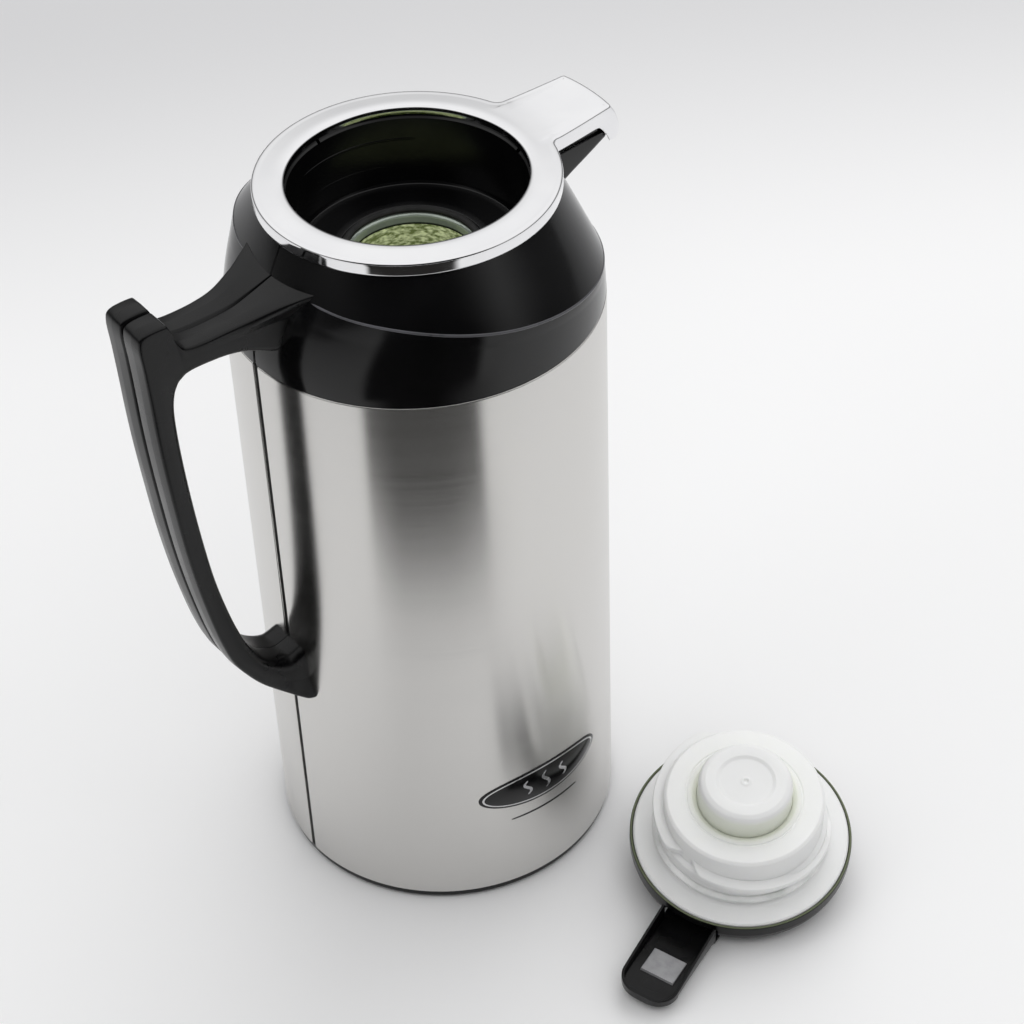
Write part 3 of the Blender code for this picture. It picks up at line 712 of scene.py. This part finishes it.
def build_chrome():
    """Ring and spout cover in one skin: each row runs from the mouth over the top and round the edge."""
    top = RING_TOP
    rows = []
    for x, y, nx, ny, room in cover_plan():
        polar = atan2(y, x)
        ux, uy = cos(polar), sin(polar)
        size = hypot(nx, ny)
        nx, ny = nx / size, ny / size
        low = skirt_bottom(x, y)

        def inner(r, z):
            return (r * ux, r * uy, z)

        def edge(inset, z):
            along, past = min(inset, room), max(0.0, inset - room)
            x_in = x - nx * along - past
            z_up = z + cover_lift(x_in) * min(1.0, max(0.0, (z - 287.0) / 8.0))
            return (x_in + nose_bulge(x, z), y - ny * along - past * (1 if y > 0 else -1), z_up)

        def roof(share):
            start, end = inner(48.0, top), edge(2.6, top)
            px, py = (start[i] + (end[i] - start[i]) * share for i in (0, 1))
            return (px, py, top + 0.12 * (1 - share) + cover_lift(px))

        mouth = [
            inner(MOUTH_R + 0.1, 296.2), inner(MOUTH_R, 297.2), inner(MOUTH_R, top - 0.55),
            inner(MOUTH_R + 0.2, top - 0.15), inner(MOUTH_R + 0.65, top + 0.1), inner(MOUTH_R + 1.4, top + 0.19),
            inner(45.6, top + 0.2), inner(46.8, top + 0.17)]
        bevel = [edge(1.9, top), edge(1.1, top), edge(0.72, top - 0.04), edge(0.42, top - 0.15),
                 edge(0.2, top - 0.36), edge(0.06, top - 0.66)]
        wall = [edge(0.0, top - 1.2 + (low + 0.7 - top + 1.2) * k / 11) for k in range(12)]
        under = [edge(0.15, low + 0.2), edge(0.5, low), edge(0.9, low + 0.1), edge(1.2, low + 0.6),
                 edge(1.25, top - 2.6), edge(3.0, top - 2.7), inner(46.0, top - 1.8), inner(43.6, top - 2.6)]
        rows.append(mouth + [roof(k / 10) for k in range(11)] + bevel + wall + under)
    show(skin("chrome_cover", rows, ring=True, sharp=50.0), CHROME, "jug", "chrome_ring")


# inner x and z, outer x and z, half-width inside and outside, how far the middle of the outside is sunk,
# radius of the inner corner
HANDLE = [
    ((-64.0, 122.6), (-64.0, 98.4), 10.7, 14.6, 0.0, 9.6), ((-68.4, 121.6), (-68.8, 98.9), 10.7, 14.0, 0.0, 9.6),
    ((-71.2, 120.7), (-72.4, 101.2), 10.8, 12.6, 0.0, 9.0), ((-74.4, 120.2), (-76.6, 105.0), 11.0, 11.6, 0.0, 7.0),
    ((-78.0, 121.4), (-82.0, 110.4), 11.0, 11.1, 0.0, 4.5), ((-81.8, 123.9), (-87.2, 116.3), 11.0, 11.0, 0.0, 3.2),
    ((-85.3, 127.8), (-92.3, 123.8), 11.0, 11.0, 0.0),
    ((-89.7, 136.2), (-97.2, 132.8), 11.0, 11.0, 0.0), ((-93.2, 146.5), (-100.8, 144.5), 11.0, 11.0, 0.0),
    ((-96.3, 158.5), (-103.6, 157.0), 11.0, 11.0, 0.0), ((-99.6, 175.0), (-106.8, 174.5), 11.0, 11.0, 0.0),
    ((-102.0, 194.0), (-109.4, 193.5), 11.0, 11.0, 0.0), ((-103.9, 214.0), (-111.4, 214.0), 11.0, 11.0, 0.0),
    ((-105.1, 232.0), (-112.9, 232.5), 11.0, 11.0, 0.0), ((-105.6, 246.0), (-113.8, 248.0), 11.0, 11.0, 0.0),
    ((-105.3, 256.0), (-114.3, 262.0), 11.0, 11.0, 0.0), ((-104.4, 261.5), (-114.9, 276.0), 11.0, 11.0, 0.0),
    ((-103.0, 264.5), (-115.4, 286.0), 11.0, 11.0, 0.0), ((-102.2, 265.6), (-113.6, 289.8), 11.0, 11.0, 0.0),
    ((-101.4, 266.2), (-106.4, 290.4), 11.0, 11.0, 0.0), ((-100.6, 266.7), (-104.0, 289.3), 11.0, 11.0, 0.0),
    ((-99.8, 267.2), (-102.4, 284.0), 11.0, 11.0, 0.0), ((-98.8, 267.5), (-100.4, 279.8), 11.0, 11.2, 0.0),
    ((-96.5, 267.8), (-97.6, 278.2), 11.0, 11.0, 0.1), ((-92.0, 267.8), (-92.0, 277.6), 11.0, 11.1, 0.3),
    ((-84.0, 267.2), (-83.0, 277.8), 11.0, 11.3, 0.5), ((-77.0, 265.8), (-74.5, 278.6), 11.3, 12.5, 0.7),
    ((-71.5, 263.8), (-66.0, 280.8), 11.8, 15.3, 0.6), ((-66.0, 261.6), (-57.5, 283.2), 12.8, 18.9, 0.2),
    ((-60.0, 260.6), (-52.0, 284.6), 14.0, 22.0, 0.0),
]


def handle_half(side):
    """Rows of one moulded half; side is -1 or 1, and the parting groove runs along the middle."""
    rows = []
    table = [[*inner, *outer, *rest, 2.8][:8] for inner, outer, *rest in HANDLE]
    for ix, iz, ox, oz, half_in, half_out, dip, corner in smooth_rows(table, 5):
        length = hypot(ox - ix, oz - iz)
        flare = max(0.0, half_out - half_in)
        groove = 0.7 if ox > -101.5 and oz > 200.0 else 1.6
        wing = min(1.0, flare / 6.0)
        outline = rounded([
            (0.0, 0.12), (-0.1, half_in * 0.08), (0.0, half_in, corner), (length * 0.6, half_in + 0.12 * flare, 3.0),
            (length - 2.4 - 1.2 * wing, half_out - 0.28 * flare - 0.02, 2.0), (length, half_out, 2.4 - 1.9 * wing),
            (length - dip * 0.55 + 0.45 * (1 - wing), half_out * 0.55, 3.0),
            (length - dip + 0.25 * (1 - wing), 1.0 - 0.6 * wing, 0.9 - 0.7 * wing),
            (length - dip - groove, 0.12)], True, 4)
        rows.append([(ix + (ox - ix) * s / length, side * y, iz + (oz - iz) * s / length) for s, y in outline])
    return rows


def build_handle():
    for side, piece, node in ((-1, "grip_left", "handle_left"), (1, "grip_right", "handle_right")):
        half = skin(piece, handle_half(side), caps=True, sharp=38.0)
        show(half, SATIN_BLACK, "jug", node)


# ---- stopper, in its own frame: z is its axis, x runs along the lever --------
def lid_frame():
    """The stopper's frame: it leans on its lever, at the same place and angles as in the CAD part."""
    lean, lean_to, lever_to = radians(10.14), radians(-121.3), radians(-158.0)
    up = Vector((sin(lean) * cos(lean_to), sin(lean) * sin(lean_to), cos(lean)))
    tilt = Vector((0, 0, 1)).rotation_difference(up).to_matrix().to_4x4()
    return Matrix.Translation(Vector((59.97, -115.2, 22.0)) * MM) @ tilt @ Matrix.Rotation(lever_to, 4, "Z")


LID = lid_frame()
PIN_X, PIN_Z = -36.0, -8.3


def placed(obj):
    """Puts a piece made in the stopper's own frame where the stopper lies."""
    obj.matrix_world = LID
    return obj


def build_lid_cover():
    cover = lathe("stopper_top", [
        (0.0, -15.2), (21.5, -14.4, 20.0), (32.0, -12.5, 20.0), (39.0, -10.0, 6.0), (41.3, -8.0, 3.0),
        (41.9, -5.5, 2.0), (41.9, -2.4), (42.9, -2.4), (42.9, -0.95, 0.15), (43.65, -0.75, 0.35),
        (43.9, -1.4, 0.4), (43.9, -6.0, 4.0), (43.1, -9.4, 4.0), (40.0, -12.2, 6.0), (33.0, -14.5, 20.0),
        (22.0, -16.4, 30.0), (0.0, -17.2)], closed=False, steps=200)
    cut(cover, brick("slot", (-41.0, -12.0, -25.0), (60.0, 12.0, -4.4)))
    for side in (-1, 1):
        low, high = sorted((side * 12.35, side * 15.6))
        cut(cover, brick("boss", (PIN_X - 2.5, low, PIN_Z - 2.2), (PIN_X + 3.5, high, PIN_Z + 2.2)), "UNION")
    show(placed(cover), STOPPER_BLACK, "stopper", "lid_cover")


def thread_lug(name, start, end):
    """Helical ledge on the plug, tapered at both ends."""
    rows = []
    for k in range(97):
        t = k / 96
        azimuth = start + (end - start) * t
        turn = radians(azimuth)
        grow = min(1.0, t / 0.12, (1 - t) / 0.12)
        grow = grow * grow * (3 - 2 * grow)
        top = 16.0 - 0.06 * azimuth
        out = 31.0 + 4.4 * grow
        section = rounded([(30.4, top), (out, top, 0.45), (out, top - 2.7, 0.45), (30.4, top - 3.3)],
                          True, 3)
        rows.append([(r * cos(turn), r * sin(turn), h) for r, h in section])
    return skin(name, rows, caps=True)


def build_stopper():
    body = lathe("stopper_plug", [
        (30.1, 25.6, 0.9), (31.3, 24.6, 0.9), (31.3, 12.6, 0.5), (33.3, 12.0, 0.5), (33.5, 6.4, 0.3),
        (31.6, 6.4, 0.3), (31.6, 3.0, 0.3), (33.5, 3.0, 0.3), (33.5, 0.9, 0.7), (35.2, 0.25, 1.0),
        (41.2, 0.0, 0.8), (42.0, -0.1, 0.5), (42.6, -0.8, 0.4), (42.6, -2.0, 0.3), (2.8, -2.0), (2.8, 10.0),
        (5.2, 10.0), (5.2, 0.4), (28.6, 0.4), (28.6, 20.6), (14.0, 20.6), (14.0, 24.1), (18.72, 24.1, 0.1),
        (18.85, 24.7, 0.2), (19.8, 25.2, 0.6), (20.5, 25.6, 0.3), (22.1, 25.6, 0.2), (22.45, 25.15, 0.2),
        (22.85, 25.15, 0.2), (23.2, 25.6, 0.3)], steps=200, arc_steps=4)
    cut(body, brick("window", (-37.0, -8.0, 6.9), (-26.0, 8.0, 9.7)))
    show(placed(body), WHITE, "stopper", "stopper_body")
    for name, start, end in (("plug_thread_a", -136.0, -18.0), ("plug_thread_b", -15.0, 116.0)):
        show(placed(thread_lug(name, start, end)), WHITE, "stopper", slot="stopper_body")
    band = lathe("seal_band", [
        (34.0, 6.1, 0.3), (35.2, 5.2, 0.5), (35.2, 4.2, 0.5), (34.0, 3.3, 0.3), (31.9, 3.3), (31.9, 6.1)])
    show(placed(band), SILICONE, "seal_ring", "stopper_gasket")


def build_valve():
    cap = lathe("valve_button", [
        (0.0, 35.35), (0.6, 35.4, 0.3), (1.1, 36.05, 0.4), (1.7, 36.05, 0.4), (2.4, 35.75, 1.0), (10.3, 35.75, 1.5),
        (11.6, 36.45, 1.0), (15.6, 36.5, 1.5), (17.4, 35.6, 1.6), (18.4, 33.6, 1.5), (18.5, 24.5, 0.4),
        (16.6, 24.5, 0.3), (16.6, 33.6), (0.0, 33.6)], closed=False, steps=160)
    show(placed(cap), CAP_WHITE, "valve", "valve_cap")


def build_return_spring():
    """Coil round the valve's stem."""
    turns, low, high, radius, wire, travel = 4, -11.05, -2.8, 4.4, 0.35, 3.2
    rows = []
    for k in range(turns * 32 + 1):
        turn = 2 * pi * k / 32
        middle = low + (high - low) * k / (turns * 32)
        rows.append([((radius + wire * cos(t)) * cos(turn), (radius + wire * cos(t)) * sin(turn),
                      middle + wire * sin(t)) for t in np.linspace(0, 2 * pi, 10, endpoint=False)])
    spring = show(placed(skin("return_spring", rows, caps=True)), METAL, "stopper", "valve_spring")
    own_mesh(spring)


# along the lever: x, underside, top of the side walls
LEVER = [(-39.4, -12.6, -5.8), (-33.4, -14.6, -5.6), (-32.4, -14.8, -11.4), (-20.0, -16.8, -13.2),
         (0.0, -18.1, -14.6), (22.0, -17.0, -13.6), (36.0, -15.0, -12.3), (42.0, -13.9, -11.7),
         (43.1, -13.7, -11.6), (43.7, -13.6, -1.8), (52.0, -12.0, -1.5), (60.0, -10.3, -1.4),
         (68.0, -8.6, -1.35), (73.0, -7.7, -1.35)]


def lever_section(x, low, high, half, wall):
    """Section across the lever: a trough open upwards, its floor 2 mm thick."""
    floor = low + 2.0
    return [(x, y, z) for y, z in rounded([
        (-half, high, 0.4), (-half, low, 3.6), (half, low, 3.6), (half, high, 0.4), (half - wall, high, 0.4),
        (half - wall, floor, 0.9), (-half + wall, floor, 0.9), (-half + wall, high, 0.4)], True, 3)]


def lever_end_wall(half, tip, corner, wall):
    """Curved wall round the lever's tip."""
    rows = []
    for k in range(-12, 13):
        share = k / 12
        turn = share * pi / 2
        side = (half - corner) * (1 if k > 0 else -1 if k < 0 else 0)
        out, into = corner, corner - wall
        place = [(tip - corner + r * cos(turn), side + r * sin(turn)) for r in (out, into)]
        rows.append([(*place[0], -5.2), (*place[0], -1.8), (*place[1], -1.8), (*place[1], -5.2)])
    return skin("tip_wall", rows, caps=True)


def build_lever():
    """Thin-walled trough, open towards the plug, with a rounded tip."""
    half, tip, corner, wall = 11.7, 83.0, 8.2, 1.1
    rows = []
    for x, low, high in LEVER:
        rows.append(lever_section(x, low, high, half, wall))
    for k in range(1, 11):
        turn = pi / 2 * k / 10
        x = tip - corner + corner * sin(turn)
        inset = corner * (1 - cos(turn))
        rows.append(lever_section(x, -7.5 + 0.016 * k * k, -1.35 - 0.04 * k, half - inset, wall))
    lever = skin("press_lever", rows, caps=True, sharp=35.0)
    end = brick("end", (tip - 1.2, -half + corner, -5.4), (tip - 0.05, half - corner, -1.8))
    cut(lever, end, "UNION")
    cut(lever, lever_end_wall(half, tip, corner, wall), "UNION")
    show(placed(lever), STOPPER_BLACK, "lever", "thumb_lever")
    rows = []
    for x, low, top in ((58.6, -9.2, -8.7), (59.2, -9.0, -7.6), (70.6, -6.7, -5.2), (71.2, -6.6, -6.2)):
        outline = rounded([(-6.6, low), (-6.6, top, 0.4), (7.4, top, 0.4), (7.4, low)], False, 3)
        rows.append([(x, y, z) for y, z in outline])
    pad = skin("lever_pad", rows, caps=True)
    show(placed(pad), PAD_GREY, "lever", slot="thumb_lever")


def pad_grey():
    surface = Surface("pad_grey", (0.33, 0.33, 0.34), 0.45)
    surface.vary_color((0.27, 0.27, 0.28), 300.0)
    surface.vary_roughness(0.32, 0.5, 300.0)
    surface.relief(surface.noise(900.0), 0.00002)
    return surface.material


PAD_GREY = pad_grey()


# ---- badge: a generic oval plate with three steam curves ----------------------
BADGE_TURN = radians(-90.1)
BADGE_Z = 54.2
BADGE_SILVER = polished_metal("badge_silver", (0.72, 0.72, 0.74))


def on_jacket(turn, z, out):
    """Point on the jacket; turn is millimetres round it from the badge's middle."""
    angle = BADGE_TURN + turn / BODY_R
    return ((BODY_R + out) * cos(angle), (BODY_R + out) * sin(angle), BADGE_Z + z)


def oval(name, half, tall, height):
    """Thin oval plate that follows the jacket."""
    rows = []
    for k in range(61):
        turn = pi * k / 60
        u, v = -half * cos(turn), tall * sin(turn) + 0.02
        lip = min(height * 0.6, v * 0.4)
        rows.append([on_jacket(u, w, out) for w, out in rounded(
            [(-v, -0.04), (-v, height, lip), (v, height, lip), (v, -0.04)], True, 3)])
    return skin(name, rows, caps=True)


def stroke(name, path, width, out):
    """Thin raised line along a path of (turn, z) points."""
    path = smooth_rows(path, 8)
    rows = []
    for k, (u, v) in enumerate(path):
        ahead = path[min(k + 1, len(path) - 1)] - path[max(k - 1, 0)]
        ahead = ahead / np.linalg.norm(ahead)
        share = k / (len(path) - 1)
        half = width / 2 * (0.25 + 0.75 * sin(pi * min(1.0, max(0.0, share)) ** 0.9) ** 0.5)
        rows.append([on_jacket(u - ahead[1] * side * half, v + ahead[0] * side * half, lift)
                     for side, lift in ((-1, out - 0.1), (-0.8, out + 0.05), (0.8, out + 0.05), (1, out - 0.1))])
    return skin(name, rows, caps=True)


def build_badge():
    show(oval("badge_plate", 29.0, 8.6, 0.22), GLOSS_BLACK, "jug", slot="steel_jacket")
    show(oval("badge_line", 27.6, 7.7, 0.26), METAL, "jug", slot="steel_jacket")
    show(oval("badge_field", 26.8, 7.1, 0.30), GLOSS_BLACK, "jug", slot="steel_jacket")
    for number, (turn, size) in enumerate(((-8.5, 0.8), (0.0, 1.0), (8.5, 0.8))):
        path = [(turn + 1.5 * sin(pi * k / 3), 4.6 * size * (k / 3 - 1)) for k in range(7)]
        show(stroke("badge_steam_%d" % number, path, 1.5, 0.30), BADGE_SILVER, "jug", slot="steel_jacket")
    path = [(-16.0 + 4.0 * k, -14.6) for k in range(9)]
    show(stroke("badge_underline", path, 0.9, 0.05), GLOSS_BLACK, "jug", slot="steel_jacket")


# ---- CAD nodes that stay -----------------------------------------------------
def dress_hidden_nodes():
    looks = {"base_plug": SATIN_BLACK, "glass_cushion": RUBBER, "lever_pin": METAL, "valve_stem": CAP_WHITE,
             "valve_seal": SILICONE, "valve_clip": METAL}
    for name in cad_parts:
        if name.startswith("handle_screw"):
            looks[name] = METAL
    for name, look in looks.items():
        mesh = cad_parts[name].data
        mesh.materials.clear()
        mesh.materials.append(look)


# ---- stage -------------------------------------------------------------------
def build_stage():
    """Plain pale floor, a little darker far behind the jug, which is painted shade."""
    mesh = bpy.data.meshes.new("floor")
    work = bmesh.new()
    bmesh.ops.create_circle(work, cap_ends=True, radius=9.0, segments=96)
    work.to_mesh(mesh)
    work.free()
    ground = link("floor", mesh)
    surface = Surface("floor", (0.92, 0.92, 0.925), 0.62, Specular_IOR_Level=0.3)
    paper = surface.vary_color((0.91, 0.91, 0.915), 2.0)
    place = surface.node("ShaderNodeSeparateXYZ")
    surface.link(surface.position(), place.inputs["Vector"])
    behind = surface.math("ADD", surface.math("MULTIPLY", place.outputs["Y"], 0.79),
                          surface.math("MULTIPLY", place.outputs["X"], 0.44))
    # painted shade: the floor is mixed towards grey the further it lies behind the jug
    shade = surface.remap(behind, 0.0, 1.0, 0.25, 0.62, smooth=True)
    surface.link(surface.mix(shade, paper, (0.65, 0.65, 0.66)), surface.shader.inputs["Base Color"])
    mesh.materials.append(surface.material)


FRONT = radians(-123.0)  # the way from the jug to the camera


def build_world():
    """Studio round the jug: bright overhead, dim near the table and dark towards the front."""
    world = bpy.data.worlds.new("studio")
    world.use_nodes = True
    tree = world.node_tree
    direction = tree.nodes.new("ShaderNodeTexCoord").outputs["Generated"]

    def ramp(value, start, end, low, high):
        made = tree.nodes.new("ShaderNodeMapRange")
        made.interpolation_type = "SMOOTHSTEP"
        for socket, number in (("From Min", start), ("From Max", end), ("To Min", low), ("To Max", high)):
            made.inputs[socket].default_value = number
        tree.links.new(value, made.inputs["Value"])
        return made.outputs["Result"]

    towards = tree.nodes.new("ShaderNodeVectorMath")
    towards.operation = "DOT_PRODUCT"
    towards.inputs[1].default_value = (cos(FRONT), sin(FRONT), 0.0)
    tree.links.new(direction, towards.inputs[0])
    split = tree.nodes.new("ShaderNodeSeparateXYZ")
    tree.links.new(direction, split.inputs["Vector"])
    product = tree.nodes.new("ShaderNodeMath")
    product.operation = "MULTIPLY"
    front = tree.nodes.new("ShaderNodeMath")
    front.operation = "MAXIMUM"
    tree.links.new(ramp(towards.outputs["Value"], 0.32, 0.66, 1.0, 0.015), front.inputs[0])
    tree.links.new(ramp(split.outputs["Z"], 0.74, 0.94, 0.0, 1.0), front.inputs[1])
    tree.links.new(front.outputs["Value"], product.inputs[0])
    tree.links.new(ramp(split.outputs["Z"], 0.20, 0.62, 0.14, 1.0), product.inputs[1])
    background = tree.nodes["Background"]
    background.inputs["Color"].default_value = (1.0, 1.0, 1.0, 1.0)
    tree.links.new(product.outputs["Value"], background.inputs["Strength"])
    bpy.context.scene.world = world
    bpy.context.scene.view_settings.view_transform = "Standard"


def area_light(name, power, size, at):
    """Softbox aimed at the jug that lights the scene without showing in reflections."""
    aim = (0.0, 0.0, 0.12)
    data = bpy.data.lights.new(name, "AREA")
    data.energy = power
    data.size = size
    light = bpy.data.objects.new(name, data)
    bpy.context.scene.collection.objects.link(light)
    light.location = at
    light.rotation_euler = (Vector(aim) - Vector(at)).to_track_quat("-Z", "Y").to_euler()
    light.visible_glossy = False


def dark_floor(name, near, far, start, end):
    """Dark studio floor beyond the table, fading out at its sides and seen only in reflections."""
    points = []
    for r, turns in ((near, range(25)), (far, range(24, -1, -1))):
        for k in turns:
            angle = radians(start + (end - start) * k / 24)
            points.append((r * cos(angle), r * sin(angle), 0.0015))
    mesh = bpy.data.meshes.new(name)
    mesh.from_pydata(points, [], [(k, k + 1, 48 - k, 49 - k) for k in range(24)])
    card = link(name, mesh)
    surface = Surface(name, (0.007, 0.006, 0.005), 0.9)
    place = surface.node("ShaderNodeSeparateXYZ")
    surface.link(surface.position(), place.inputs["Vector"])
    turn = surface.math("ARCTAN2", place.outputs["Y"], place.outputs["X"])
    outer = surface.remap(surface.radius(), 0.0, 1.0, 0.425, 0.455, smooth=True)
    fades = []
    for soft, hard in (((start, start + 22.0), (start + 2.0, start + 7.0)),
                       ((end, end - 46.0), (end - 18.0, end - 25.0))):
        near_fade = surface.remap(turn, 1.0, 0.0, *(radians(a) for a in soft), smooth=True)
        far_fade = surface.remap(turn, 1.0, 0.0, *(radians(a) for a in hard), smooth=True)
        rest = surface.math("MULTIPLY", near_fade, surface.math("SUBTRACT", 1.0, outer))
        fades.append(surface.math("ADD", rest, surface.math("MULTIPLY", far_fade, outer)))
    faded = surface.mix(surface.math("MAXIMUM", *fades), surface.color, (0.90, 0.90, 0.90))
    surface.link(faded, surface.shader.inputs["Base Color"])
    mesh.materials.append(surface.material)
    card.visible_camera = False
    card.visible_diffuse = False
    card.visible_shadow = False


build_stage()
build_world()
area_light("key", 13.2, 2.0, (1.1, 0.9, 1.7))
area_light("fill", 10.0, 1.6, (-0.5, -1.3, 1.7))
dark_floor("floor_front", 0.33, 3.0, -160.0, -72.0)
build_base()
build_jacket()
build_badge()
build_collar()
build_crease_highlight()
build_spout()
build_neck()
build_glass()
build_chrome()
build_handle()
build_lid_cover()
build_stopper()
build_valve()
build_return_spring()
build_lever()
dress_hidden_nodes()
